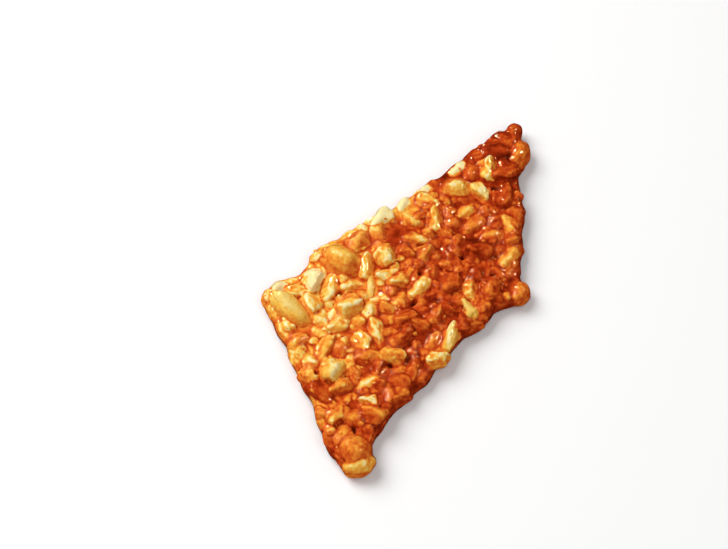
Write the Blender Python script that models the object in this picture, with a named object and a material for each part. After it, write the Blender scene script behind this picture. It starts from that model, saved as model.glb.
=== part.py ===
"""A shard of nut brittle: a poured caramel slab, flat underneath, crowded with broken nuts.

The slab is an outline drawn up through a few rings. The nuts are cut from blocks and balls, some
laid by hand where they stand out and the rest packed by a rule, and one union joins them all.
Everything is in metres, +Z up, with the origin under the middle of the shard.
"""

import math
import random

import bmesh
import bpy
from mathutils import Matrix, Vector

MM = 0.001

# The slab of caramel, in millimetres.
SLAB_TOP = 5.3
FOOT_INSET = 0.7
FOOT_HEIGHT = 0.8
SHOULDER_HEIGHT = 4.2
SHOULDER_INSET = 1.1
RIM_SPACING = 3.6
RIM_WAVES = ((0.35, 5), (0.3, 17), (0.25, 31))  # swing in millimetres, waves round the rim
BODY_CENTRE = (1.0, 4.55)  # the middle of the shard on the drawing that the places below use

# The rim's corners and bites in millimetres, anticlockwise from the left corner.
RIM = (
    (-38.4, 2.2), (-33.8, -5.8), (-27.4, -19.0), (-22.2, -32.0), (-18.4, -45.0),
    (-14.6, -48.6), (-8.0, -48.0), (-6.6, -42.0), (-3.8, -35.2), (2.2, -29.0),
    (8.2, -22.8), (13.4, -16.8), (19.2, -9.2), (24.8, -7.0), (27.6, -1.2),
    (36.2, 2.4), (34.6, 9.8), (36.7, 20.0), (37.4, 32.0), (36.6, 43.0),
    (39.2, 51.5), (35.8, 58.0), (29.4, 56.2), (19.0, 47.0), (11.0, 41.2),
    (4.8, 35.6), (-8.4, 26.6), (-22.4, 17.0), (-27.0, 9.8), (-34.0, 7.4),
)

# Nuts. The sizes are in millimetres, before the caramel hides their lower half.
SEED = 41
CHUNK_SHAPES = 8
CHUNK_CUTS = 11
CRUMB_CUTS = 6
CUT_DEPTH = (0.72, 0.98)
CUT_WANDER = 0.45
BLOCK_SIDE = 2.1
HALF_SEGMENTS = 10
HALF_RINGS = 6
HALF_SPLIT = -0.35
THICK_OF_WIDTH = {"chunk": 0.95, "half": 0.8}
NUT_HEIGHT = 4.9
HEIGHT_SWING = 0.8
LOWEST_NUT = 0.5
LEAN = math.radians(16)
CRUMB_LENGTH = 4.2

# Nuts that stand out: x, y, length, width, turn in degrees, shape, lift.
LANDMARKS = (
    (-28.5, -2.6, 16.5, 7.5, -40, "half", 0.6),
    (-23.0, 6.8, 8.5, 6.2, 80, "chunk", 0.5),
    (-32.3, 5.0, 4.4, 3.6, 10, "chunk", 0.0),
    (-28.2, 3.4, 6.6, 4.8, 20, "chunk", 0.1),
    (-23.2, -0.5, 7.2, 6.0, -60, "chunk", 0.0),
    (-18.2, 4.0, 9.2, 5.2, 65, "chunk", 0.2),
    (-12.3, 5.2, 6.6, 4.2, 5, "chunk", 0.0),
    (-13.0, -1.2, 8.2, 7.2, 30, "chunk", 0.2),
    (-7.4, -2.2, 7.2, 4.4, 80, "half", 0.0),
    (-6.9, 4.6, 7.6, 3.4, 75, "chunk", 0.0),
    (-15.0, 13.2, 12.5, 9.6, -25, "half", -0.2),
    (-27.0, -12.2, 7.6, 5.0, 25, "chunk", -0.2),
    (-16.8, -7.4, 8.6, 4.4, 28, "chunk", 0.2),
    (-19.6, -14.0, 9.6, 4.4, 65, "chunk", 0.1),
    (-15.2, -14.4, 6.6, 5.4, 100, "half", 0.0),
    (-17.2, -21.4, 9.6, 7.6, 30, "chunk", 0.4),
    (-5.4, -8.6, 8.6, 4.6, -72, "chunk", 0.2),
    (-7.0, -24.4, 8.8, 4.0, 25, "half", 0.4),
    (-7.2, -30.0, 6.8, 4.6, -5, "chunk", 0.3),
    (-20.4, -27.2, 8.6, 6.0, -35, "chunk", 0.0),
    (-16.4, -33.8, 7.2, 5.0, 75, "chunk", 0.2),
    (-11.6, -35.0, 6.2, 5.4, 0, "half", 0.0),
    (-14.6, -40.0, 7.6, 4.6, 60, "half", 0.0),
    (-11.2, -44.6, 9.8, 9.0, -40, "half", 0.6),
    (-10.4, -47.8, 9.4, 6.6, 20, "half", -1.6),
    (-1.0, -16.8, 7.6, 6.6, -30, "chunk", 0.6),
    (11.4, -17.0, 7.4, 5.6, 20, "chunk", -0.3),
    (17.5, 37.0, 9.6, 7.6, 8, "half", 0.4),
    (27.2, 43.4, 8.2, 6.6, 70, "chunk", 0.4),
    (18.6, 44.2, 6.2, 3.6, 40, "chunk", -0.4),
    (8.2, 36.6, 5.4, 3.2, 15, "chunk", -0.4),
    (2.4, 32.2, 5.6, 3.4, 70, "chunk", -0.2),
    (-3.8, 27.2, 8.2, 5.2, 50, "chunk", 0.0),
    (-10.6, 19.4, 8.0, 6.6, 60, "chunk", 0.0),
    (11.6, 26.4, 9.2, 5.2, 80, "chunk", 0.3),
    (6.2, 19.6, 8.2, 6.2, -10, "chunk", 0.1),
    (24.6, 36.0, 8.6, 4.8, -52, "chunk", 0.2),
    (20.4, 29.4, 8.6, 4.0, 42, "half", 0.2),
    (23.4, 25.4, 9.6, 5.0, 42, "half", 0.2),
    (28.0, 21.6, 8.0, 4.6, 18, "half", 0.2),
    (32.6, 24.6, 8.8, 4.8, -62, "half", 0.2),
    (32.6, 14.8, 11.0, 4.8, 58, "half", 0.2),
    (36.4, 49.4, 10.0, 6.4, 70, "half", -0.2),
    (35.4, 57.4, 5.6, 4.8, 60, "half", -0.4),
    (6.4, 4.4, 10.2, 4.4, 50, "half", 0.4),
    (1.0, 6.8, 6.8, 5.6, 20, "chunk", 0.2),
    (21.0, 4.6, 6.6, 5.4, 60, "chunk", 0.1),
    (20.6, -2.4, 7.8, 5.0, -62, "chunk", 0.4),
    (15.0, -11.0, 10.6, 4.2, 66, "chunk", 0.4),
    (34.8, 3.8, 7.2, 5.8, 70, "half", -1.2),
)

# Bare pools of caramel that the packing leaves open: x, y, radius.
POOLS = ((0.4, 21.6, 4.6), (12.8, 38.4, 2.4), (7.6, -12.6, 2.2))

# Sizes packed between them, largest first: shortest, longest, tries, share of touching distance.
PACKING = ((7.0, 9.0, 600, 0.8), (5.0, 7.0, 1600, 0.76), (3.2, 4.8, 3000, 0.78))
EDGE_SHARE = 0.34  # of a nut's length, kept between its middle and the rim

# Nuts that show in the broken walls.
WALL_SPACING = 6.4
WALL_INSET = 1.8
WALL_LENGTH = (5.0, 7.4)
WALL_HEIGHT = (2.8, 4.0)


def clear_scene():
    for thing in list(bpy.data.objects):
        bpy.data.objects.remove(thing, do_unlink=True)


def rim_points(spacing):
    """The rim as points a set distance apart, with a small wave across its line."""
    corners = [Vector(corner) for corner in RIM]
    sides = list(zip(corners, corners[1:] + corners[:1]))
    around = sum((end - start).length for start, end in sides)
    points, walked = [], 0.0
    for start, end in sides:
        along = end - start
        steps = max(1, round(along.length / spacing))
        outward = Vector((along.y, -along.x)).normalized()
        for step in range(steps):
            share = step / steps
            turn = 2 * math.pi * (walked + share * along.length) / around
            swing = sum(size * math.sin(waves * turn + waves) for size, waves in RIM_WAVES)
            points.append(start + along * share + outward * swing)
        walked += along.length
    return points


def inset_ring(points, inset):
    """The closed ring of points moved inwards by a set distance."""
    moved = []
    for index, point in enumerate(points):
        along = points[(index + 1) % len(points)] - points[index - 1]
        moved.append(point + Vector((-along.y, along.x)).normalized() * inset)
    return moved


def edge_distance(place, ring):
    """How far inside the ring a place lies, below zero where it is outside."""
    nearest, crossings = math.inf, 0
    for start, end in zip(ring, ring[1:] + ring[:1]):
        along = end - start
        share = max(0.0, min(1.0, (place - start).dot(along) / along.length_squared))
        nearest = min(nearest, (start + along * share - place).length)
        if (start.y > place.y) != (end.y > place.y):
            if place.x < start.x + (place.y - start.y) / along.y * along.x:
                crossings += 1
    return nearest if crossings % 2 else -nearest


def radius_towards(nut, way):
    """Half the nut's width as seen from above, measured along one direction."""
    turned = Matrix.Rotation(-math.radians(nut["turn"]), 2) @ way
    return 1 / math.hypot(turned.x / (nut["length"] / 2), turned.y / (nut["width"] / 2))


def has_room(nut, nuts, closeness):
    for other in nuts:
        gap = other["place"] - nut["place"]
        if gap.length < 1e-6:
            return False
        way = gap.normalized()
        if gap.length < closeness * (radius_towards(nut, way) + radius_towards(other, way)):
            return False
    return True


def describe_nut(draw, place, size, turn, shape, height):
    """One nut's place, size and lean, with its shape's number drawn at random."""
    length, width = size
    thick = width * THICK_OF_WIDTH[shape]
    return {
        "place": Vector(place),
        "height": max(height, thick / 2 + length / 2 * math.sin(LEAN) + LOWEST_NUT),
        "length": length,
        "width": width,
        "thick": thick,
        "turn": turn,
        "shape": shape,
        "pick": draw.randrange(CHUNK_SHAPES),
        "roll": draw.uniform(-LEAN, LEAN),
        "pitch": draw.uniform(-LEAN, LEAN),
    }


def landmark_nuts(draw):
    nuts = []
    for x, y, length, width, turn, shape, lift in LANDMARKS:
        nuts.append(describe_nut(draw, (x, y), (length, width), turn, shape, NUT_HEIGHT + lift))
    return nuts


def packed_nuts(draw, nuts, ring):
    """Fills the top between the nuts already there, the largest sizes first."""
    low = [min(point[axis] for point in ring) for axis in (0, 1)]
    high = [max(point[axis] for point in ring) for axis in (0, 1)]
    for shortest, longest, tries, closeness in PACKING:
        for _ in range(tries):
            place = Vector((draw.uniform(low[0], high[0]), draw.uniform(low[1], high[1])))
            length = draw.uniform(shortest, longest)
            width = length * draw.uniform(0.55, 0.9)
            shape = "half" if draw.random() < 0.15 else "chunk"
            height = NUT_HEIGHT + draw.uniform(-HEIGHT_SWING, HEIGHT_SWING)
            nut = describe_nut(draw, place, (length, width), draw.uniform(0, 180), shape, height)
            in_pool = any((place - Vector(pool[:2])).length < pool[2] for pool in POOLS)
            if in_pool or edge_distance(place, ring) < EDGE_SHARE * length:
                continue
            if has_room(nut, nuts, closeness):
                nuts.append(nut)
    return nuts


def wall_nuts(draw, ring):
    """Nuts half out of the broken walls, low enough to lie under those on top."""
    inner = inset_ring(ring, WALL_INSET)
    around = sum((b - a).length for a, b in zip(inner, inner[1:] + inner[:1]))
    every = max(1, round(WALL_SPACING / (around / len(inner))))
    nuts = []
    for index in range(0, len(inner) - 1, every):
        along = inner[(index + 1) % len(inner)] - inner[index - 1]
        length = draw.uniform(*WALL_LENGTH)
        turn = math.degrees(math.atan2(along.y, along.x)) + draw.uniform(-25, 25)
        size = (length, length * draw.uniform(0.55, 0.8))
        nuts.append(describe_nut(draw, inner[index], size, turn, "chunk", draw.uniform(*WALL_HEIGHT)))
    return nuts


def spiral_directions(count):
    """Directions spread evenly over a ball."""
    golden_angle = math.pi * (3 - math.sqrt(5))
    for index in range(count):
        up = 1 - 2 * (index + 0.5) / count
        flat = math.sqrt(1 - up * up)
        yield Vector((flat * math.cos(index * golden_angle), flat * math.sin(index * golden_angle), up))


def cut_away(bm, normal, depth):
    """Cuts off what lies beyond a plane and closes the cut."""
    everything = bm.verts[:] + bm.edges[:] + bm.faces[:]
    cut = bmesh.ops.bisect_plane(
        bm, geom=everything, plane_co=normal * depth, plane_no=normal, clear_outer=True
    )
    rim = [edge for edge in cut["geom_cut"] if isinstance(edge, bmesh.types.BMEdge)]
    if rim:
        bmesh.ops.edgeloop_fill(bm, edges=rim)


def fit_to_unit(bm):
    """Stretches the shape to two units each way, about its middle."""
    low = Vector([min(vert.co[axis] for vert in bm.verts) for axis in range(3)])
    high = Vector([max(vert.co[axis] for vert in bm.verts) for axis in range(3)])
    middle = (low + high) / 2
    for vert in bm.verts:
        vert.co = Vector([2 * (vert.co[k] - middle[k]) / (high[k] - low[k]) for k in range(3)])


def chunk_shape(draw, cuts):
    """A broken piece of nut: a block with its corners and edges split off by flat breaks."""
    bm = bmesh.new()
    bmesh.ops.create_cube(bm, size=BLOCK_SIDE)
    for direction in spiral_directions(cuts):
        wander = Vector([draw.uniform(-CUT_WANDER, CUT_WANDER) for _ in range(3)])
        cut_away(bm, (direction + wander).normalized(), draw.uniform(*CUT_DEPTH))
    fit_to_unit(bm)
    return bm


def half_shape():
    """Half a kernel: a smooth ball with its underside split off flat."""
    bm = bmesh.new()
    bmesh.ops.create_uvsphere(bm, u_segments=HALF_SEGMENTS, v_segments=HALF_RINGS, radius=1)
    cut_away(bm, Vector((0, 0, -1)), -HALF_SPLIT)
    fit_to_unit(bm)
    return bm


def mesh_from(bm, name):
    bmesh.ops.recalc_face_normals(bm, faces=bm.faces[:])
    bmesh.ops.triangulate(bm, faces=bm.faces[:])
    mesh = bpy.data.meshes.new(name)
    bm.to_mesh(mesh)
    bm.free()
    return mesh


def place_nut(nut, mesh, number, collection):
    """Puts a nut's shape in its place on the slab, turned, leaning and at its size."""
    centre = nut["place"] - Vector(BODY_CENTRE)
    turn = Matrix.Rotation(math.radians(nut["turn"]), 4, "Z")
    lean = Matrix.Rotation(nut["roll"], 4, "X") @ Matrix.Rotation(nut["pitch"], 4, "Y")
    size = Matrix.Diagonal((nut["length"] / 2, nut["width"] / 2, nut["thick"] / 2, 1))
    to_place = Matrix.Translation((centre.x, centre.y, nut["height"]))
    piece = bpy.data.objects.new(f"nut_{number}", mesh)
    piece.matrix_world = Matrix.Scale(MM, 4) @ to_place @ turn @ lean @ size
    collection.objects.link(piece)


def make_slab(ring):
    """The caramel slab: rings of the rim, drawn in at the foot and the shoulder, and capped."""
    levels = (
        (inset_ring(ring, FOOT_INSET), 0.0),
        (ring, FOOT_HEIGHT),
        (ring, SHOULDER_HEIGHT),
        (inset_ring(ring, SHOULDER_INSET), SLAB_TOP),
    )
    bm = bmesh.new()
    rings = []
    for points, height in levels:
        places = [point - Vector(BODY_CENTRE) for point in points]
        rings.append([bm.verts.new((place.x * MM, place.y * MM, height * MM)) for place in places])
    for lower, upper in zip(rings, rings[1:]):
        for index in range(len(lower)):
            after = (index + 1) % len(lower)
            bm.faces.new((lower[index], lower[after], upper[after], upper[index]))
    bm.faces.new(list(reversed(rings[0])))
    bm.faces.new(rings[-1])
    slab = bpy.data.objects.new("brittle", mesh_from(bm, "brittle"))
    bpy.context.scene.collection.objects.link(slab)
    return slab


def join_nuts(slab, collection):
    """One union of the slab and all the nuts, applied, with the separate nuts then removed."""
    union = slab.modifiers.new("nuts", "BOOLEAN")
    union.operation = "UNION"
    union.operand_type = "COLLECTION"
    union.collection = collection
    union.solver = "MANIFOLD"
    bpy.context.view_layer.objects.active = slab
    bpy.ops.object.modifier_apply(modifier=union.name)
    for piece in list(collection.objects):
        bpy.data.objects.remove(piece, do_unlink=True)
    bpy.data.collections.remove(collection)


def keep_outer_shell(slab):
    """Fills hollows that the union sealed, and drops scraps, by keeping only the largest shell."""
    bm = bmesh.new()
    bm.from_mesh(slab.data)
    left, shells = set(bm.verts), []
    while left:
        shell, reached = set(), [left.pop()]
        while reached:
            vert = reached.pop()
            shell.add(vert)
            near = {edge.other_vert(vert) for edge in vert.link_edges} & left
            left -= near
            reached.extend(near)
        shells.append(shell)
    shells.sort(key=len)
    for shell in shells[:-1]:
        bmesh.ops.delete(bm, geom=list(shell), context="VERTS")
    bm.to_mesh(slab.data)
    bm.free()


def caramel_material():
    material = bpy.data.materials.new("caramel_and_nuts")
    material.use_nodes = True
    finish = material.node_tree.nodes["Principled BSDF"].inputs
    finish["Base Color"].default_value = (0.62, 0.2, 0.03, 1)
    finish["Roughness"].default_value = 0.18
    finish["Metallic"].default_value = 0
    return material


def main():
    clear_scene()
    draw = random.Random(SEED)
    ring = rim_points(RIM_SPACING)
    nuts = packed_nuts(draw, landmark_nuts(draw), ring) + wall_nuts(draw, ring)
    chunks = [mesh_from(chunk_shape(draw, CHUNK_CUTS), "chunk") for _ in range(CHUNK_SHAPES)]
    crumbs = [mesh_from(chunk_shape(draw, CRUMB_CUTS), "crumb") for _ in range(CHUNK_SHAPES)]
    half = mesh_from(half_shape(), "half")
    collection = bpy.data.collections.new("nuts")
    bpy.context.scene.collection.children.link(collection)
    for number, nut in enumerate(nuts):
        small = nut["length"] < CRUMB_LENGTH
        chunk = (crumbs if small else chunks)[nut["pick"]]
        place_nut(nut, half if nut["shape"] == "half" else chunk, number, collection)
    slab = make_slab(ring)
    join_nuts(slab, collection)
    keep_outer_shell(slab)
    slab.data.materials.clear()
    slab.data.materials.append(caramel_material())
    print(f"{len(nuts)} nuts, {len(slab.data.polygons)} faces")


main()
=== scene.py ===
# A shard of nut brittle on a pale table: nuts in halves, chunks and crumbs, held in poured caramel.
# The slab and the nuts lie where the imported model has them, by the same rule and the same draws.

import math
import random

import bpy
import numpy as np
from mathutils import Matrix, Vector
from mathutils.bvhtree import BVHTree


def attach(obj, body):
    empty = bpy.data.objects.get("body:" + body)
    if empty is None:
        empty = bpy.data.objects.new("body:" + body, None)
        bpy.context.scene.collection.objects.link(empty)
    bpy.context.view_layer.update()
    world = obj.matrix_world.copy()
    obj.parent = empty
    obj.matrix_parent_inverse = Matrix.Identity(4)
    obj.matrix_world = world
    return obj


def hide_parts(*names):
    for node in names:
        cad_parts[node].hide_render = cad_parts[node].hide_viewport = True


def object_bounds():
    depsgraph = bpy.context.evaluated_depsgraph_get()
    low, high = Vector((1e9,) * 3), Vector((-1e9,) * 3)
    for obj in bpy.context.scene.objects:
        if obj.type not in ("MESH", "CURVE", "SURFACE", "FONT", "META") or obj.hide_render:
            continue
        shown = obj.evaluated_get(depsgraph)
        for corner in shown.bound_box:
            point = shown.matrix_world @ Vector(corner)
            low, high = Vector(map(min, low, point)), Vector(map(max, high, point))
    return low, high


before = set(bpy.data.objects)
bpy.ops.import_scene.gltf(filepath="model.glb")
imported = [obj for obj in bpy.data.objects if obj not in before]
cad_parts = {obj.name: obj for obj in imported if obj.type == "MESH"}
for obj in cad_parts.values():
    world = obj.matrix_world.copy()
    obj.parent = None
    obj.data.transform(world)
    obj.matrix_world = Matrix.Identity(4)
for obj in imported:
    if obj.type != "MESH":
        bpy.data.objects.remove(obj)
cadLow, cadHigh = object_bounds()
print("frame loaded")

mm = 0.001
shardMiddle = Vector((1.0, 4.55))  # millimetres, on the drawing that the places below use

# the slab, in millimetres
slab = {
    "top": 5.3,
    "footInset": 0.7,
    "footHeight": 0.8,
    "shoulderHeight": 4.2,
    "shoulderInset": 1.1,
    "layoutSpacing": 3.6,
    "rimSpacing": 1.3,
    "waves": ((0.35, 5), (0.3, 17), (0.25, 31)),
    "rim": (
        (-38.4, 2.2), (-33.8, -5.8), (-27.4, -19.0), (-22.2, -32.0), (-18.4, -45.0),
        (-14.6, -48.6), (-8.0, -48.0), (-6.6, -42.0), (-3.8, -35.2), (2.2, -29.0),
        (8.2, -22.8), (13.4, -16.8), (19.2, -9.2), (24.8, -7.0), (27.6, -1.2),
        (36.2, 2.4), (34.6, 9.8), (36.7, 20.0), (37.4, 32.0), (36.6, 43.0),
        (39.2, 51.5), (35.8, 58.0), (29.4, 56.2), (19.0, 47.0), (11.0, 41.2),
        (4.8, 35.6), (-8.4, 26.6), (-22.4, 17.0), (-27.0, 9.8), (-34.0, 7.4),
    ),
}

# how the nuts are laid and shaped
nutRule = {
    "seed": 41,
    "shapes": 8,
    "chunkCuts": 11,
    "crumbCuts": 6,
    "cutDepth": (0.72, 0.98),
    "cutWander": 0.45,
    "block": 2.1,
    "halfSplit": -0.35,
    "kernelSegments": 28,
    "kernelRings": 18,
    "thickOfWidth": {"chunk": 0.95, "half": 0.8},
    "height": 4.9,
    "heightSwing": 0.8,
    "lowest": 0.5,
    "lean": math.radians(16),
    "crumbLength": 4.2,
    "edgeShare": 0.34,
    "pools": ((0.4, 21.6, 4.6), (12.8, 38.4, 2.4), (7.6, -12.6, 2.2)),
    # each round's shortest and longest nut, its tries, and how close the nuts may lie
    "packing": ((7.0, 9.0, 600, 0.8), (5.0, 7.0, 1600, 0.76), (3.2, 4.8, 3000, 0.78)),
    "widthOfLength": (0.55, 0.9),
    "halfShare": 0.15,
    "wallSpacing": 6.4,
    "wallInset": 1.8,
    "wallLength": (5.0, 7.4),
    "wallWidthOfLength": (0.55, 0.8),
    "wallSwing": 25,
    "wallHeight": (2.8, 4.0),
}

# millimetres of caramel over a nut, by how it looks, and below nothing where it looks palest
coats = {
    "cream": -0.35,
    "pale": 0.04,
    "clear": 0.12,
    "gold": 0.2,
    "golden": 0.34,
    "honey": 0.46,
    "orange": 0.58,
    "dark": 1.05,
}

# nuts that stand out: x, y, length, width, turn in degrees, shape, lift, coat
landmarks = (
    (-28.5, -2.6, 16.5, 7.5, -40, "half", 0.6, "pale"),
    (-23.0, 6.8, 8.5, 6.2, 80, "chunk", 0.5, "cream"),
    (-32.3, 5.0, 4.4, 3.6, 10, "chunk", 0.0, "cream"),
    (-28.2, 3.4, 6.6, 4.8, 20, "chunk", 0.1, "clear"),
    (-23.2, -0.5, 7.2, 6.0, -60, "chunk", 0.0, "clear"),
    (-18.2, 4.0, 9.2, 5.2, 65, "chunk", 0.2, "clear"),
    (-12.3, 5.2, 6.6, 4.2, 5, "chunk", 0.0, "clear"),
    (-13.0, -1.2, 8.2, 7.2, 30, "chunk", 0.2, "clear"),
    (-7.4, -2.2, 7.2, 4.4, 80, "half", 0.0, "clear"),
    (-6.9, 4.6, 7.6, 3.4, 75, "chunk", 0.0, "pale"),
    (-15.0, 13.2, 12.5, 9.6, -25, "half", -0.2, "gold"),
    (-27.0, -12.2, 7.6, 5.0, 25, "chunk", -0.2, "golden"),
    (-16.8, -7.4, 8.6, 4.4, 28, "chunk", 0.2, "clear"),
    (-19.6, -14.0, 9.6, 4.4, 65, "chunk", 0.1, "golden"),
    (-15.2, -14.4, 6.6, 5.4, 100, "half", 0.0, "orange"),
    (-17.2, -21.4, 9.6, 7.6, 30, "chunk", 0.4, "pale"),
    (-5.4, -8.6, 8.6, 4.6, -72, "chunk", 0.2, "gold"),
    (-7.0, -24.4, 8.8, 4.0, 25, "half", 0.4, "gold"),
    (-7.2, -30.0, 6.8, 4.6, -5, "chunk", 0.3, "gold"),
    (-20.4, -27.2, 8.6, 6.0, -35, "chunk", 0.0, "dark"),
    (-16.4, -33.8, 7.2, 5.0, 75, "chunk", 0.2, "golden"),
    (-11.6, -35.0, 6.2, 5.4, 0, "half", 0.0, "orange"),
    (-14.6, -40.0, 7.6, 4.6, 60, "half", 0.0, "orange"),
    (-11.2, -44.6, 9.8, 9.0, -40, "half", 0.6, "honey"),
    (-10.4, -47.8, 9.4, 6.6, 20, "half", -1.6, "gold"),
    (-1.0, -16.8, 7.6, 6.6, -30, "chunk", 0.6, "golden"),
    (11.4, -17.0, 7.4, 5.6, 20, "chunk", -0.3, "gold"),
    (17.5, 37.0, 9.6, 7.6, 8, "half", 0.4, "gold"),
    (27.2, 43.4, 8.2, 6.6, 70, "chunk", 0.4, "gold"),
    (18.6, 44.2, 6.2, 3.6, 40, "chunk", -0.4, "cream"),
    (8.2, 36.6, 5.4, 3.2, 15, "chunk", -0.4, "cream"),
    (2.4, 32.2, 5.6, 3.4, 70, "chunk", -0.2, "cream"),
    (-3.8, 27.2, 8.2, 5.2, 50, "chunk", 0.0, "cream"),
    (-10.6, 19.4, 8.0, 6.6, 60, "chunk", 0.0, "golden"),
    (11.6, 26.4, 9.2, 5.2, 80, "chunk", 0.3, "golden"),
    (6.2, 19.6, 8.2, 6.2, -10, "chunk", 0.1, "gold"),
    (24.6, 36.0, 8.6, 4.8, -52, "chunk", 0.2, "pale"),
    (20.4, 29.4, 8.6, 4.0, 42, "half", 0.2, "golden"),
    (23.4, 25.4, 9.6, 5.0, 42, "half", 0.2, "orange"),
    (28.0, 21.6, 8.0, 4.6, 18, "half", 0.2, "orange"),
    (32.6, 24.6, 8.8, 4.8, -62, "half", 0.2, "golden"),
    (32.6, 14.8, 11.0, 4.8, 58, "half", 0.2, "golden"),
    (36.4, 49.4, 10.0, 6.4, 70, "half", -0.2, "orange"),
    (35.4, 57.4, 5.6, 4.8, 60, "half", -0.4, "dark"),
    (6.4, 4.4, 10.2, 4.4, 50, "half", 0.4, "gold"),
    (1.0, 6.8, 6.8, 5.6, 20, "chunk", 0.2, "golden"),
    (21.0, 4.6, 6.6, 5.4, 60, "chunk", 0.1, "golden"),
    (20.6, -2.4, 7.8, 5.0, -62, "chunk", 0.4, "pale"),
    (15.0, -11.0, 10.6, 4.2, 66, "chunk", 0.4, "pale"),
    (34.8, 3.8, 7.2, 5.8, 70, "half", -1.2, "orange"),
)


def rimPoints(spacing):
    corners = [Vector(corner) for corner in slab["rim"]]
    sides = list(zip(corners, corners[1:] + corners[:1]))
    around = sum((end - start).length for start, end in sides)
    points, walked = [], 0.0
    for start, end in sides:
        along = end - start
        steps = max(1, round(along.length / spacing))
        outward = Vector((along.y, -along.x)).normalized()
        for step in range(steps):
            share = step / steps
            turn = 2 * math.pi * (walked + share * along.length) / around
            swing = sum(size * math.sin(waves * turn + waves) for size, waves in slab["waves"])
            points.append(start + along * share + outward * swing)
        walked += along.length
    return points


def insetRing(points, inset):
    moved = []
    for index, point in enumerate(points):
        along = points[(index + 1) % len(points)] - points[index - 1]
        moved.append(point + Vector((-along.y, along.x)).normalized() * inset)
    return moved


def edgeDistance(place, ring):
    nearest, crossings = math.inf, 0
    for start, end in zip(ring, ring[1:] + ring[:1]):
        along = end - start
        share = max(0.0, min(1.0, (place - start).dot(along) / along.length_squared))
        nearest = min(nearest, (start + along * share - place).length)
        if (start.y > place.y) != (end.y > place.y):
            if place.x < start.x + (place.y - start.y) / along.y * along.x:
                crossings += 1
    return nearest if crossings % 2 else -nearest


def radiusTowards(nut, way):
    turned = Matrix.Rotation(-math.radians(nut["turn"]), 2) @ way
    return 1 / math.hypot(turned.x / (nut["length"] / 2), turned.y / (nut["width"] / 2))


def hasRoom(nut, nuts, closeness):
    for other in nuts:
        gap = other["place"] - nut["place"]
        if gap.length < 1e-6:
            return False
        way = gap.normalized()
        if gap.length < closeness * (radiusTowards(nut, way) + radiusTowards(other, way)):
            return False
    return True


def describeNut(draw, place, size, turn, shape, height, coat=None):
    length, width = size
    thick = width * nutRule["thickOfWidth"][shape]
    reach = thick / 2 + length / 2 * math.sin(nutRule["lean"]) + nutRule["lowest"]
    return {
        "place": Vector(place),
        "height": max(height, reach),
        "length": length,
        "width": width,
        "thick": thick,
        "turn": turn,
        "shape": shape,
        "coat": coat,
        "pick": draw.randrange(nutRule["shapes"]),
        "roll": draw.uniform(-nutRule["lean"], nutRule["lean"]),
        "pitch": draw.uniform(-nutRule["lean"], nutRule["lean"]),
    }


def landmarkNuts(draw):
    nuts = []
    for x, y, length, width, turn, shape, lift, look in landmarks:
        height = nutRule["height"] + lift
        nuts.append(describeNut(draw, (x, y), (length, width), turn, shape, height, coats[look]))
    return nuts


def ringBox(ring):
    low = [min(point[axis] for point in ring) for axis in (0, 1)]
    high = [max(point[axis] for point in ring) for axis in (0, 1)]
    return low, high


def drawPlace(draw, low, high):
    return Vector((draw.uniform(low[0], high[0]), draw.uniform(low[1], high[1])))


def inPool(place, pools):
    return any((place - Vector(pool[:2])).length < pool[2] for pool in pools)


def packedNuts(draw, nuts, ring):
    low, high = ringBox(ring)
    for shortest, longest, tries, closeness in nutRule["packing"]:
        for _ in range(tries):
            place = drawPlace(draw, low, high)
            length = draw.uniform(shortest, longest)
            width = length * draw.uniform(*nutRule["widthOfLength"])
            shape = "half" if draw.random() < nutRule["halfShare"] else "chunk"
            height = nutRule["height"] + draw.uniform(-nutRule["heightSwing"], nutRule["heightSwing"])
            nut = describeNut(draw, place, (length, width), draw.uniform(0, 180), shape, height)
            tooNear = edgeDistance(place, ring) < nutRule["edgeShare"] * length
            if inPool(place, nutRule["pools"]) or tooNear:
                continue
            if hasRoom(nut, nuts, closeness):
                nuts.append(nut)
    return nuts


def wallNuts(draw, ring):
    inner = insetRing(ring, nutRule["wallInset"])
    around = sum((b - a).length for a, b in zip(inner, inner[1:] + inner[:1]))
    every = max(1, round(nutRule["wallSpacing"] / (around / len(inner))))
    nuts = []
    for index in range(0, len(inner) - 1, every):
        along = inner[(index + 1) % len(inner)] - inner[index - 1]
        length = draw.uniform(*nutRule["wallLength"])
        swing = draw.uniform(-nutRule["wallSwing"], nutRule["wallSwing"])
        turn = math.degrees(math.atan2(along.y, along.x)) + swing
        size = (length, length * draw.uniform(*nutRule["wallWidthOfLength"]))
        height = draw.uniform(*nutRule["wallHeight"])
        nuts.append(describeNut(draw, inner[index], size, turn, "chunk", height))
    return nuts


layoutDraw = random.Random(nutRule["seed"])
layoutRing = rimPoints(slab["layoutSpacing"])
nuts = packedNuts(layoutDraw, landmarkNuts(layoutDraw), layoutRing) + wallNuts(layoutDraw, layoutRing)
print(f"{len(nuts)} nuts laid")

# how much caramel ran over the nuts: least at the left, more to the right, at the bottom and
# towards the upper point
pour = {
    "least": 0.09,
    "acrossGain": 0.82,
    "acrossFrom": -15,
    "acrossTo": 11,
    "slant": 0.42,
    "downGain": 0.18,
    "downFrom": -8,
    "downTo": -40,
    "tipGain": 0.3,
    "tipFrom": 29,
    "tipTo": 50,
    "spread": 0.2,
    "bareShare": 0.1,
    "bareBelow": 0.5,
    "seed": 7,
}


def rampBetween(value, start, end):
    share = np.clip((value - start) / (end - start), 0, 1)
    return share * share * (3 - 2 * share)


def pourAt(x, y):
    across = rampBetween(x - pour["slant"] * y, pour["acrossFrom"], pour["acrossTo"])
    down = rampBetween(y, pour["downFrom"], pour["downTo"]) * (1 - across)
    tip = rampBetween(y, pour["tipFrom"], pour["tipTo"])
    return pour["least"] + pour["acrossGain"] * across + pour["downGain"] * down + pour["tipGain"] * tip


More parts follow.
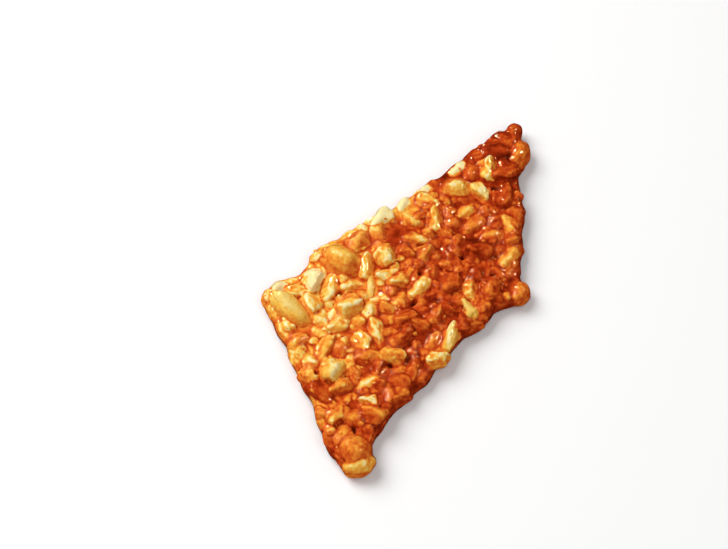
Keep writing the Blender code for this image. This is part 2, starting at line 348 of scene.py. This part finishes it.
coatDraw = random.Random(pour["seed"])
for nut in nuts:
    spread = coatDraw.uniform(-pour["spread"], pour["spread"])
    poured = float(pourAt(*nut["place"]))
    bare = coatDraw.random() < pour["bareShare"] and poured < pour["bareBelow"]
    if nut["coat"] is None:
        nut["coat"] = coats["pale"] if bare else max(coats["clear"], poured + spread)

# Nut shapes, two units across each way


def deselectAll():
    if bpy.context.mode != "OBJECT":
        bpy.ops.object.mode_set(mode="OBJECT")
    bpy.ops.object.select_all(action="DESELECT")


def applyModifier(piece, kind, **settings):
    modifier = piece.modifiers.new(kind.lower(), kind)
    for key, value in settings.items():
        setattr(modifier, key, value)
    bpy.context.view_layer.objects.active = piece
    bpy.ops.object.modifier_apply(modifier=modifier.name)


def spiralDirections(count):
    goldenAngle = math.pi * (3 - math.sqrt(5))
    for index in range(count):
        up = 1 - 2 * (index + 0.5) / count
        flat = math.sqrt(1 - up * up)
        yield Vector((flat * math.cos(index * goldenAngle), flat * math.sin(index * goldenAngle), up))


def fitToUnit(piece):
    corners = [vert.co for vert in piece.data.vertices]
    low = Vector([min(co[axis] for co in corners) for axis in range(3)])
    high = Vector([max(co[axis] for co in corners) for axis in range(3)])
    middle = (low + high) / 2
    for vert in piece.data.vertices:
        vert.co = Vector([2 * (vert.co[k] - middle[k]) / (high[k] - low[k]) for k in range(3)])


def splitBlock(draw, cuts):
    deselectAll()
    bpy.ops.mesh.primitive_cube_add(size=nutRule["block"])
    piece = bpy.context.object
    bpy.ops.object.mode_set(mode="EDIT")
    for direction in spiralDirections(cuts):
        wander = Vector([draw.uniform(-nutRule["cutWander"], nutRule["cutWander"]) for _ in range(3)])
        normal = (direction + wander).normalized()
        depth = draw.uniform(*nutRule["cutDepth"])
        bpy.ops.mesh.select_all(action="SELECT")
        bpy.ops.mesh.bisect(plane_co=normal * depth, plane_no=normal, use_fill=True, clear_outer=True)
    bpy.ops.object.mode_set(mode="OBJECT")
    fitToUnit(piece)
    return piece


def splitKernel():
    deselectAll()
    bpy.ops.mesh.primitive_uv_sphere_add(
        segments=nutRule["kernelSegments"], ring_count=nutRule["kernelRings"], radius=1
    )
    piece = bpy.context.object
    bpy.ops.object.mode_set(mode="EDIT")
    bpy.ops.mesh.select_all(action="SELECT")
    bpy.ops.mesh.bisect(
        plane_co=(0, 0, nutRule["halfSplit"]), plane_no=(0, 0, -1), use_fill=True, clear_outer=True
    )
    bpy.ops.object.mode_set(mode="OBJECT")
    fitToUnit(piece)
    return piece


def cloudTexture(name, size):
    texture = bpy.data.textures.new(name, "CLOUDS")
    texture.noise_scale = size
    texture.noise_depth = 2
    return texture


shapeFinish = {
    "bevel": 0.36,
    "smoothing": 24,
    "lumps": cloudTexture("lumps", 0.6),
    "lumpDepth": 0.44,
    "grain": cloudTexture("grain", 0.2),
    "grainDepth": 0.03,
}


def pointsOf(mesh):
    values = np.zeros(len(mesh.vertices) * 3)
    mesh.vertices.foreach_get("co", values)
    return values.reshape(-1, 3)


def facetPlanes(piece):
    return np.array([(*face.normal, face.normal.dot(face.center)) for face in piece.data.polygons])


def finishShape(piece, voxel, rough, smoothing=shapeFinish["smoothing"]):
    planes = facetPlanes(piece)
    applyModifier(piece, "BEVEL", width=shapeFinish["bevel"], segments=2, limit_method="ANGLE")
    applyModifier(piece, "REMESH", mode="VOXEL", voxel_size=voxel)
    applyModifier(piece, "SMOOTH", factor=0.5, iterations=smoothing)
    for texture, depth in (("lumps", "lumpDepth"), ("grain", "grainDepth")):
        strength = shapeFinish[depth] * rough
        applyModifier(piece, "DISPLACE", texture=shapeFinish[texture], strength=strength)
    applyModifier(piece, "TRIANGULATE")
    points = pointsOf(piece.data)
    corners = np.zeros(len(piece.data.polygons) * 3, int)
    piece.data.polygons.foreach_get("vertices", corners)
    beyond = points @ planes[:, :3].T - planes[:, 3]
    bpy.data.objects.remove(piece, do_unlink=True)
    return {"points": points, "triangles": corners.reshape(-1, 3), "facets": beyond.argmax(1)}


voxels = {"largeChunks": 0.115, "smallChunks": 0.15, "crumbs": 0.22, "specks": 0.5, "halves": 0.1}
chunkBlocks = [splitBlock(layoutDraw, nutRule["chunkCuts"]) for _ in range(nutRule["shapes"])]
crumbBlocks = [splitBlock(layoutDraw, nutRule["crumbCuts"]) for _ in range(nutRule["shapes"])]


def copyOf(piece):
    copy = piece.copy()
    copy.data = piece.data.copy()
    bpy.context.scene.collection.objects.link(copy)
    return copy


shapes = {
    "largeChunks": [finishShape(copyOf(block), voxels["largeChunks"], 1.0) for block in chunkBlocks],
    "smallChunks": [finishShape(copyOf(block), voxels["smallChunks"], 1.0) for block in chunkBlocks],
    "crumbs": [finishShape(copyOf(block), voxels["crumbs"], 1.0) for block in crumbBlocks],
    "specks": [finishShape(copyOf(block), voxels["specks"], 0.5, 2) for block in crumbBlocks],
    "halves": [finishShape(splitKernel(), voxels["halves"], 0.65)],
}
for block in chunkBlocks + crumbBlocks:
    bpy.data.objects.remove(block, do_unlink=True)
for kind, made in shapes.items():
    print(kind, [len(shape["triangles"]) for shape in made])

# The nuts at their size and place

kinds = {"largeFrom": 6.2, "speckBelow": 2.1}  # lengths in millimetres


def kindOf(nut):
    if nut["shape"] == "half":
        return "halves"
    if nut["length"] < kinds["speckBelow"]:
        return "specks"
    if nut["length"] < nutRule["crumbLength"]:
        return "crumbs"
    return "largeChunks" if nut["length"] > kinds["largeFrom"] else "smallChunks"


def shapeOf(nut):
    made = shapes[kindOf(nut)]
    return made[nut["pick"] % len(made)]


def nutMatrix(nut, extra=0.0):
    place = nut["place"] - shardMiddle
    turn = Matrix.Rotation(math.radians(nut["turn"]), 4, "Z")
    lean = Matrix.Rotation(nut["roll"], 4, "X") @ Matrix.Rotation(nut["pitch"], 4, "Y")
    half = [nut[side] / 2 + extra for side in ("length", "width", "thick")]
    where = Matrix.Translation((place.x, place.y, nut["height"]))
    return np.array(Matrix.Scale(mm, 4) @ where @ turn @ lean @ Matrix.Diagonal((*half, 1)))


def placedPoints(nut, extra=0.0):
    matrix = nutMatrix(nut, extra)
    return shapeOf(nut)["points"] @ matrix[:3, :3].T + matrix[:3, 3]


# depths of caramel in millimetres, which set the colour everywhere; in the crevices, creases and pits
# they also carry painted shade
film = {
    "fullDepth": 2.0,  # the colour is deepest here
    "deepest": 1.5,  # as deep as it gets outside the pits
    "perDrop": 0.08,  # added for each millimetre below a nut's top
    "facets": 40,
    "facetSpread": 0.1,  # added or taken away on each facet of a broken nut
    "pooled": 1.0,  # of the distance to the nearest nut
    "filled": 1.3,  # of the depth that a crevice was filled by: deeper caramel there, and painted shade in the crevice
    "crease": 2.4,  # of the depth of the fine creases, less on the ridges: deeper caramel there, and painted shade in the creases
    "ridge": -0.08,
    "thinShare": 0.4,  # of both where least caramel ran
    "upright": 0.2,  # added where the surface stands upright
    "contact": 0.3,  # added on a bare nut where the caramel meets it
    "contactReach": 0.22,
    "openPools": nutRule["pools"][:2],
    "poolGain": 0.55,
    "poolReach": 1.6,  # of a pool's radius
    "poolSlope": 1.5,  # all of it over the inner third, none at the end
    "seed": 19,
}


def awayFrom(points, x, y):
    middle = np.array((x - shardMiddle.x, y - shardMiddle.y)) * mm
    return np.linalg.norm(points[:, :2] - middle, axis=1) / mm


def poolFilm(points):
    gain = np.zeros(len(points))
    for x, y, radius in film["openPools"]:
        share = awayFrom(points, x, y) / (radius * film["poolReach"])
        gain = np.maximum(gain, film["poolGain"] * np.clip(film["poolSlope"] * (1 - share), 0, 1))
    return gain


def nutFilm(nut, points):
    drop = np.clip(nut["height"] + nut["thick"] / 2 - points[:, 2] / mm, 0, None)
    facets = nut["facetCoat"][shapeOf(nut)["facets"] % film["facets"]]
    return nut["coat"] + facets + film["perDrop"] * drop + poolFilm(points)


def meshFrom(name, points, triangles):
    mesh = bpy.data.meshes.new(name)
    mesh.vertices.add(len(points))
    mesh.vertices.foreach_set("co", points.ravel())
    mesh.loops.add(triangles.size)
    mesh.loops.foreach_set("vertex_index", triangles.ravel())
    mesh.polygons.add(len(triangles))
    mesh.polygons.foreach_set("loop_start", np.arange(0, triangles.size, 3))
    mesh.polygons.foreach_set("use_smooth", np.ones(len(triangles), bool))
    mesh.update(calc_edges=True)
    mesh.validate()
    piece = bpy.data.objects.new(name, mesh)
    bpy.context.scene.collection.objects.link(piece)
    return piece


def keepValues(mesh, name, values):
    layer = mesh.attributes.new(name, "FLOAT", "POINT")
    layer.data.foreach_set("value", values.astype(np.float32))


def writeFilm(piece, depths):
    keepValues(piece.data, "film", np.clip(depths / film["fullDepth"], 0, 1))


def joinNuts(members, extra=0.0, bareExtra=0.0):
    points, triangles, depths, start = [], [], [], 0
    for nut in members:
        placed = placedPoints(nut, bareExtra if isBare(nut) else extra)
        points.append(placed)
        triangles.append(shapeOf(nut)["triangles"] + start)
        depths.append(nutFilm(nut, placed))
        start += len(placed)
    return np.concatenate(points), np.concatenate(triangles), np.concatenate(depths)


def isBare(nut):
    return coats["cream"] < nut["coat"] < coats["clear"]


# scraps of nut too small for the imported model, scattered under the skin among the larger ones
scraps = {
    "count": 280,
    "length": (2.2, 4.1),
    "widthOfLength": (0.5, 0.9),
    "height": (4.6, 6.0),
    "margin": 1.6,
    "coatSpread": 0.25,
    "seed": 5,
}


def scatterScraps():
    draw = random.Random(scraps["seed"])
    low, high = ringBox(layoutRing)
    made = []
    while len(made) < scraps["count"]:
        place = drawPlace(draw, low, high)
        tooNear = edgeDistance(place, layoutRing) < scraps["margin"]
        if inPool(place, film["openPools"]) or tooNear:
            continue
        length = draw.uniform(*scraps["length"])
        size = (length, length * draw.uniform(*scraps["widthOfLength"]))
        height = draw.uniform(*scraps["height"])
        coat = max(coats["gold"], float(pourAt(*place)) + draw.uniform(-1, 1) * scraps["coatSpread"])
        made.append(describeNut(draw, place, size, draw.uniform(0, 180), "chunk", height, coat))
    return made


nuts += scatterScraps()
facetDraw = random.Random(film["seed"])
for nut in nuts:
    reach = 0 if nut["shape"] == "half" else film["facetSpread"]
    nut["facetCoat"] = np.array([facetDraw.uniform(-reach, reach) for _ in range(film["facets"])])

# The caramel: the slab and the coated nuts become one skin, which then fills the crevices

caramel = {
    "voxel": 0.335,  # lengths in millimetres
    "coat": 0.26,
    "bareCoat": -0.3,  # under the bare nuts, which are pieces of their own
    "creaseRounds": 4,
    "fillRounds": 12,
    "fill": 0.9,
    "melt": 0.7,
    "lastRounds": 8,
    "waves": cloudTexture("waves", 3.0 * mm),
    "waveDepth": 0.45,
    "ripples": cloudTexture("ripples", 1.6 * mm),
    "rippleDepth": 0.03,
    "flatBelow": 0.32,
    "facesDown": -0.8,  # the upward part of a normal, at most, where the underside is laid flat
    "undersideBelow": 0.12,
    "undersideKept": 0.05,  # of the points there
}

# holes between the nuts that the caramel left open: x, y, length, width, turn in degrees
pits = {
    "places": (
        (16.2, -1.6, 3.4, 1.5, -40),
        (29.3, 36.6, 2.8, 1.8, -20),
        (7.1, 17.8, 2.6, 0.9, 15),
        (6.9, 9.1, 1.8, 1.2, 60),
        (-21.9, -22.1, 1.2, 2.0, 0),
        (-15.5, 2.7, 2.6, 1.4, 20),
        (-1.7, -19.4, 2.2, 1.0, -35),
        (5.1, -0.1, 2.4, 1.3, 40),
        (18.9, 14.2, 2.0, 1.0, 80),
        (-11.5, -38.4, 0.9, 2.6, 10),
    ),
    "depth": 1.8,
    # the pits are darkened by this much more depth: painted shade in the holes
    "film": 0.9,
    "spread": 1.4,  # how far a pit's soft edge reaches, of its half length and width
}


def selectFace(piece, up):
    bpy.ops.mesh.select_all(action="DESELECT")
    bpy.ops.object.mode_set(mode="OBJECT")
    heights = [face.center.z * up for face in piece.data.polygons]
    piece.data.polygons[heights.index(max(heights))].select = True
    bpy.ops.object.mode_set(mode="EDIT")


def pourSlab():
    ring = rimPoints(slab["rimSpacing"])
    deselectAll()
    bpy.ops.mesh.primitive_circle_add(vertices=len(ring), fill_type="NGON")
    piece = bpy.context.object
    for vert, point in zip(piece.data.vertices, ring):
        place = point - shardMiddle
        vert.co = (place.x * mm, place.y * mm, slab["footHeight"] * mm)
    bpy.ops.object.mode_set(mode="EDIT")
    bpy.ops.mesh.select_mode(type="FACE")
    bpy.ops.mesh.select_all(action="SELECT")
    rise = (slab["shoulderHeight"] - slab["footHeight"]) * mm
    bpy.ops.mesh.extrude_region_move(TRANSFORM_OT_translate={"value": (0, 0, rise)})
    bpy.ops.mesh.select_all(action="SELECT")
    bpy.ops.mesh.normals_make_consistent(inside=False)
    selectFace(piece, 1)
    bpy.ops.mesh.inset(
        thickness=slab["shoulderInset"] * mm, depth=(slab["top"] - slab["shoulderHeight"]) * mm
    )
    selectFace(piece, -1)
    bpy.ops.mesh.inset(thickness=slab["footInset"] * mm, depth=slab["footHeight"] * mm)
    bpy.ops.object.mode_set(mode="OBJECT")
    return piece


def relaxed(points, edges, rounds, share=0.5):
    degree = np.bincount(edges.ravel(), minlength=len(points))[:, None]
    one, other = edges.T
    for _ in range(rounds):
        total = np.zeros(points.shape)
        for axis in range(points.shape[1]):
            total[:, axis] += np.bincount(one, points[other, axis], len(points))
            total[:, axis] += np.bincount(other, points[one, axis], len(points))
        points = points + share * (total / degree - points)
    return points


def edgesOf(mesh):
    edges = np.zeros(len(mesh.edges) * 2, int)
    mesh.edges.foreach_get("vertices", edges)
    return edges.reshape(-1, 2)


def normalsOf(mesh):
    normals = np.zeros(len(mesh.vertices) * 3, np.float32)
    mesh.vertex_normals.foreach_get("vector", normals)
    return normals.reshape(-1, 3).astype(float)


def setPoints(mesh, points):
    mesh.vertices.foreach_set("co", points.ravel())
    mesh.update()


def fillCrevices(mesh):
    edges, points, normals = edgesOf(mesh), pointsOf(mesh), normalsOf(mesh)
    near, far = [
        ((relaxed(points, edges, rounds) - points) * normals).sum(1)
        for rounds in (caramel["creaseRounds"], caramel["fillRounds"])
    ]
    gain = np.where(far > 0, caramel["fill"], caramel["melt"]) * far
    setPoints(mesh, relaxed(points + normals * gain[:, None], edges, caramel["lastRounds"]))
    # the depths of the creases and of the fill are kept for the colour, which darkens there with deeper
    # caramel and painted shade
    keepValues(mesh, "crease", near / mm)
    keepValues(mesh, "filled", far / mm)


def pitShare(points):
    share = np.zeros(len(points))
    for x, y, length, width, turn in pits["places"]:
        across = points[:, :2] / mm - np.array((x - shardMiddle.x, y - shardMiddle.y))
        turned = across @ np.array(Matrix.Rotation(math.radians(turn), 2))
        away = np.linalg.norm(turned / (length / 2, width / 2), axis=1) / pits["spread"]
        away = np.clip(away, 0, 1)
        share = np.maximum(share, (1 - away ** 2) ** 2)
    return np.where(points[:, 2] > slab["shoulderHeight"] * mm, share, 0)


def openPits(mesh):
    points = pointsOf(mesh)
    share = pitShare(points)
    points[:, 2] -= pits["depth"] * mm * share
    # the pit share is kept for the colour, where it paints shade into the holes
    keepValues(mesh, "pit", share)
    setPoints(mesh, points)


def flattenUnderside(mesh):
    points = pointsOf(mesh)
    isLow = points[:, 2] < cadLow[2] + caramel["flatBelow"] * mm
    facesDown = normalsOf(mesh)[:, 2] < caramel["facesDown"]
    points[isLow & facesDown, 2] = cadLow[2]
    setPoints(mesh, points)


def aboveTable(points):
    return np.maximum(points, (-np.inf, -np.inf, cadLow[2]))


def fitInside(points):
    points = aboveTable(points)
    low, high = points.min(0), points.max(0)
    lowest, highest = np.maximum(low, np.array(cadLow)), np.minimum(high, np.array(cadHigh))
    return lowest + (points - low) * (highest - lowest) / (high - low)


def thinUnderside(piece):
    heights = pointsOf(piece.data)[:, 2] / mm
    flat = np.flatnonzero(heights < caramel["undersideBelow"])
    group = piece.vertex_groups.new(name="underside")
    group.add(flat.tolist(), 1.0, "REPLACE")
    kept = 1 - (1 - caramel["undersideKept"]) * len(flat) / len(heights)
    applyModifier(piece, "DECIMATE", ratio=kept, vertex_group=group.name)
    piece.vertex_groups.clear()
    setPoints(piece.data, aboveTable(pointsOf(piece.data)))


def takeValues(mesh, name):
    values = np.zeros(len(mesh.vertices), np.float32)
    mesh.attributes[name].data.foreach_get("value", values)
    mesh.attributes.remove(mesh.attributes[name])
    return values


def caramelDepthAndShade(mesh):
    points, triangles, coatDepths = joinNuts(nuts)
    tree = BVHTree.FromPolygons(points.tolist(), triangles.tolist())
    coatOfFace = coatDepths[triangles].mean(1)
    depths, gaps = np.zeros(len(mesh.vertices)), np.zeros(len(mesh.vertices))
    for vertex in mesh.vertices:
        _, _, face, gap = tree.find_nearest(vertex.co)
        depths[vertex.index] = coatOfFace[face]
        gaps[vertex.index] = max(0.0, gap / mm - caramel["coat"])
    x, y = pointsOf(mesh)[:, :2].T / mm
    poured = (pourAt(x + shardMiddle.x, y + shardMiddle.y) - pour["least"]) / pour["acrossGain"]
    # the caramel between the nuts deepens the colour, and the crevices and creases add painted shade as
    # well as deeper caramel
    between = film["pooled"] * gaps + film["filled"] * takeValues(mesh, "filled")
    depths += between * (film["thinShare"] + (1 - film["thinShare"]) * np.clip(poured, 0, 1))
    depths += film["upright"] * (1 - np.clip(normalsOf(mesh)[:, 2], 0, 1))
    depths += film["crease"] * np.maximum(takeValues(mesh, "crease"), film["ridge"])
    # the pits add painted shade on top of the capped depth
    depths = np.minimum(depths, film["deepest"]) + pits["film"] * takeValues(mesh, "pit")
    return relaxed(depths[:, None], edgesOf(mesh), 1)[:, 0]


body = pourSlab()
coated = meshFrom("coated", *joinNuts(nuts, caramel["coat"], caramel["bareCoat"])[:2])
deselectAll()
coated.select_set(True)
body.select_set(True)
bpy.context.view_layer.objects.active = body
bpy.ops.object.join()
body.name = "caramel"
body.data.name = "caramel"
body.data.remesh_voxel_size = caramel["voxel"] * mm
bpy.ops.object.voxel_remesh()
print(f"caramel skin of {len(body.data.polygons)} faces")
applyModifier(body, "DISPLACE", texture=caramel["waves"], strength=caramel["waveDepth"] * mm)
fillCrevices(body.data)
applyModifier(body, "DISPLACE", texture=caramel["ripples"], strength=caramel["rippleDepth"] * mm)
openPits(body.data)
flattenUnderside(body.data)
setPoints(body.data, fitInside(pointsOf(body.data)))
thinUnderside(body)
writeFilm(body, caramelDepthAndShade(body.data))
body.data.polygons.foreach_set("use_smooth", np.ones(len(body.data.polygons), bool))
skinTriangles = sum(len(face.vertices) - 2 for face in body.data.polygons)
print(f"caramel filled and coloured, {skinTriangles} triangles")

# The nuts that stand bare out of the caramel, one piece for each kind

# specks of nut that lie on the caramel, dropped onto it from above
specks = {
    "count": 80,
    "within": ((-40, -50), (40, 60)),  # two corners of the box that the places are drawn in
    "length": (0.8, 2.0),
    "widthOfLength": (0.4, 0.8),
    "dropHeight": 1.0,  # metres, well above the shard
    "margin": 0.6,
    "sunk": 0.15,
    "coat": (0.0, 0.1),
    "pouredShare": 0.4,
    "seed": 9,
}


def sprinkleSpecks(tree):
    draw = random.Random(specks["seed"])
    made = []
    while len(made) < specks["count"]:
        place = drawPlace(draw, *specks["within"])
        if edgeDistance(place, layoutRing) < specks["margin"]:
            continue
        start = Vector((*(place - shardMiddle) * mm, specks["dropHeight"]))
        surface = tree.ray_cast(start, Vector((0, 0, -1)))[0]
        length = draw.uniform(*specks["length"])
        size = (length, length * draw.uniform(*specks["widthOfLength"]))
        height, turn = surface.z / mm - specks["sunk"], draw.uniform(0, 180)
        coat = draw.uniform(*specks["coat"]) + specks["pouredShare"] * float(pourAt(*place))
        made.append(describeNut(draw, place, size, turn, "chunk", height, coat))
        made[-1]["facetCoat"] = np.zeros(film["facets"])
    return made


skinTree = BVHTree.FromObject(body, bpy.context.evaluated_depsgraph_get())
bareNuts = [nut for nut in nuts if isBare(nut)] + sprinkleSpecks(skinTree)
nutPieces = []
for kind in shapes:
    members = [nut for nut in bareNuts if kindOf(nut) == kind]
    if members:
        points, triangles, depths = joinNuts(members)
        gaps = np.array([skinTree.find_nearest(Vector(point))[3] for point in points]) / mm
        depths += film["contact"] * np.exp(-gaps / film["contactReach"])
        piece = meshFrom(kind, np.clip(points, np.array(cadLow), np.array(cadHigh)), triangles)
        writeFilm(piece, depths)
        nutPieces.append(piece)
        print(f"{kind}: {len(members)} nuts, {len(triangles)} triangles")

# Finishes. The colour follows how deep the caramel is, and the painted shade added to that depth in the
# crevices, creases and pits.

tints = (
    (0.0, (0.93, 0.78, 0.38)),
    (0.03, (0.93, 0.64, 0.17)),
    (0.07, (0.92, 0.52, 0.08)),
    (0.12, (0.89, 0.385, 0.048)),
    (0.19, (0.83, 0.255, 0.029)),
    (0.3, (0.70, 0.136, 0.016)),
    (0.43, (0.56, 0.07, 0.009)),
    (0.58, (0.42, 0.037, 0.005)),
    (0.78, (0.27, 0.02, 0.003)),
    (1.0, (0.13, 0.009, 0.0015)),
)


mottleDetail = 3
mottleSpan = (0.3, 0.7)  # the values of the noise that swing the colour all the way
glowReach = (1.0, 0.35, 0.08)  # red light goes farthest into the caramel


def addNoise(nodes, links, place, scale, detail):
    noise = nodes.new("ShaderNodeTexNoise")
    noise.inputs["Scale"].default_value = scale
    noise.inputs["Detail"].default_value = detail
    links.new(place.outputs["Object"], noise.inputs["Vector"])
    return noise.outputs["Fac"]


def addMottle(nodes, links, place, total, scale, swing):
    noise = addNoise(nodes, links, place, scale, mottleDetail)
    spread = nodes.new("ShaderNodeMapRange")
    spread.inputs["From Min"].default_value = mottleSpan[0]
    spread.inputs["From Max"].default_value = mottleSpan[1]
    spread.inputs["To Min"].default_value = 1 - swing
    spread.inputs["To Max"].default_value = 1 + swing
    links.new(noise, spread.inputs["Value"])
    product = nodes.new("ShaderNodeMath")
    product.operation = "MULTIPLY"
    links.new(total, product.inputs[0])
    links.new(spread.outputs["Result"], product.inputs[1])
    return product.outputs["Value"]


def addBump(nodes, links, place, scale, height, detail):
    noise = addNoise(nodes, links, place, scale, detail)
    bump = nodes.new("ShaderNodeBump")
    bump.inputs["Distance"].default_value = height * mm
    links.new(noise, bump.inputs["Height"])
    return bump.outputs["Normal"]


def addRamp(nodes):
    ramp = nodes.new("ShaderNodeValToRGB")
    stops = ramp.color_ramp.elements
    stops.remove(stops[1])
    stops[0].position = tints[0][0]
    stops[0].color = (*tints[0][1], 1)
    for position, colour in tints[1:]:
        stops.new(position).color = (*colour, 1)
    return ramp


def finish(name, look):
    material = bpy.data.materials.new(name)
    material.use_nodes = True
    nodes, links = material.node_tree.nodes, material.node_tree.links
    shader = nodes["Principled BSDF"]
    place = nodes.new("ShaderNodeTexCoord")
    depth = nodes.new("ShaderNodeAttribute")
    depth.attribute_name = "film"
    total = depth.outputs["Fac"]
    for scale, swing in look["mottle"]:
        total = addMottle(nodes, links, place, total, scale, swing)
    ramp = addRamp(nodes)
    links.new(total, ramp.inputs["Fac"])
    links.new(ramp.outputs["Color"], shader.inputs["Base Color"])
    links.new(addBump(nodes, links, place, *look["grain"]), shader.inputs["Normal"])
    links.new(addBump(nodes, links, place, *look["glaze"]), shader.inputs["Coat Normal"])
    shader.inputs["Roughness"].default_value = look["roughness"]
    shader.inputs["Specular IOR Level"].default_value = look["specular"]
    shader.inputs["Coat Weight"].default_value = look["coatWeight"]
    shader.inputs["Coat Roughness"].default_value = look["coatRoughness"]
    shader.inputs["Subsurface Weight"].default_value = look["glow"]
    shader.inputs["Subsurface Radius"].default_value = glowReach
    shader.inputs["Subsurface Scale"].default_value = look["glowDepth"] * mm
    return material


# the glaze shines alike on both, and the glow goes a millimetre deep
glazed = {
    "specular": 0.0,
    "coatWeight": 1.0,
    "coatRoughness": 0.08,
    "glowDepth": 1.0,
}
# each noise gives its scale, then how far it swings, or its height in millimetres and its detail
bareLook = {
    **glazed,
    "mottle": ((260, 0.3), (1300, 0.4)),
    "grain": (1500, 0.25, 3),
    "glaze": (350, 0.05, 0),
    "roughness": 0.6,
    "glow": 0.1,
}
caramelLook = {
    **glazed,
    "mottle": ((170, 0.22), (420, 0.3), (1300, 0.16)),
    "grain": (900, 0.2, 3),
    "glaze": (350, 0.08, 0),
    "roughness": 0.5,
    "glow": 0.15,
}
nutFinish = finish("bareNut", bareLook)
caramelFinish = finish("caramel", caramelLook)
for piece, material in [(piece, nutFinish) for piece in nutPieces] + [(body, caramelFinish)]:
    piece.data.materials.clear()
    piece.data.materials.append(material)
    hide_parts("brittle")
    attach(piece, "root")
print("finishes set")

# Table, lights and camera

table = {"size": 3.0, "drop": 0.05, "colour": (0.95, 0.95, 0.95, 1), "roughness": 0.8}
deselectAll()
bpy.ops.mesh.primitive_plane_add(size=table["size"], location=(0, 0, -table["drop"] * mm))
floor = bpy.context.object
floor.name = "table"
floorFinish = bpy.data.materials.new("table")
floorFinish.use_nodes = True
floorShader = floorFinish.node_tree.nodes["Principled BSDF"]
floorShader.inputs["Base Color"].default_value = table["colour"]
floorShader.inputs["Roughness"].default_value = table["roughness"]
floor.data.materials.append(floorFinish)
floor.visible_glossy = False

# the large lamps light the surfaces, and the small warm ones only glint in the glaze
glintColour = (1.0, 0.7, 0.38)
lamps = {
    "key": {"place": (-0.58, 0.38, 0.8), "size": 0.75, "power": 11.1, "glint": False},
    "fill": {"place": (0.3, -0.5, 1.0), "size": 1.0, "power": 4.8, "glint": False},
    "glintLeft": {"place": (-0.43, 0.18, 0.38), "size": 0.045, "power": 1.5, "glint": True},
    "glintBack": {"place": (-0.28, 0.47, 0.24), "size": 0.045, "power": 1.5, "glint": True},
    "glintRight": {"place": (0.41, 0.18, 0.4), "size": 0.045, "power": 1.2, "glint": True},
}
for name, lamp in lamps.items():
    light = bpy.data.lights.new(name, "AREA")
    light.size = lamp["size"]
    light.energy = lamp["power"]
    if lamp["glint"]:
        light.color = glintColour
    holder = bpy.data.objects.new(name, light)
    holder.visible_glossy = lamp["glint"]
    holder.visible_diffuse = not lamp["glint"]
    holder.visible_camera = False
    holder.location = lamp["place"]
    holder.rotation_euler = (-Vector(lamp["place"])).to_track_quat("-Z", "Y").to_euler()
    bpy.context.scene.collection.objects.link(holder)

surroundings = {"colour": (1, 1, 1, 1), "strength": 0.18}
world = bpy.data.worlds.new("studio")
world.use_nodes = True
background = world.node_tree.nodes["Background"]
background.inputs["Color"].default_value = surroundings["colour"]
background.inputs["Strength"].default_value = surroundings["strength"]
bpy.context.scene.world = world
world.cycles_visibility.glossy = False
bpy.context.scene.view_settings.view_transform = "Standard"

# The lens looks down on the shard from in front
view = {
    "lens": 85,
    "elevation": math.radians(62),
    "distance": 481.3,
    "aim": (-9.82, 2.99, 8.01),
    "clipStart": 10,
}
camera = bpy.data.objects.new("camera", bpy.data.cameras.new("camera"))
camera.data.lens = view["lens"]
camera.data.clip_start = view["clipStart"] * mm
back = Vector((0, -math.cos(view["elevation"]), math.sin(view["elevation"])))
camera.location = (Vector(view["aim"]) + back * view["distance"]) * mm
camera.rotation_euler = (math.pi / 2 - view["elevation"], 0, 0)
bpy.context.scene.collection.objects.link(camera)
bpy.context.scene.camera = camera
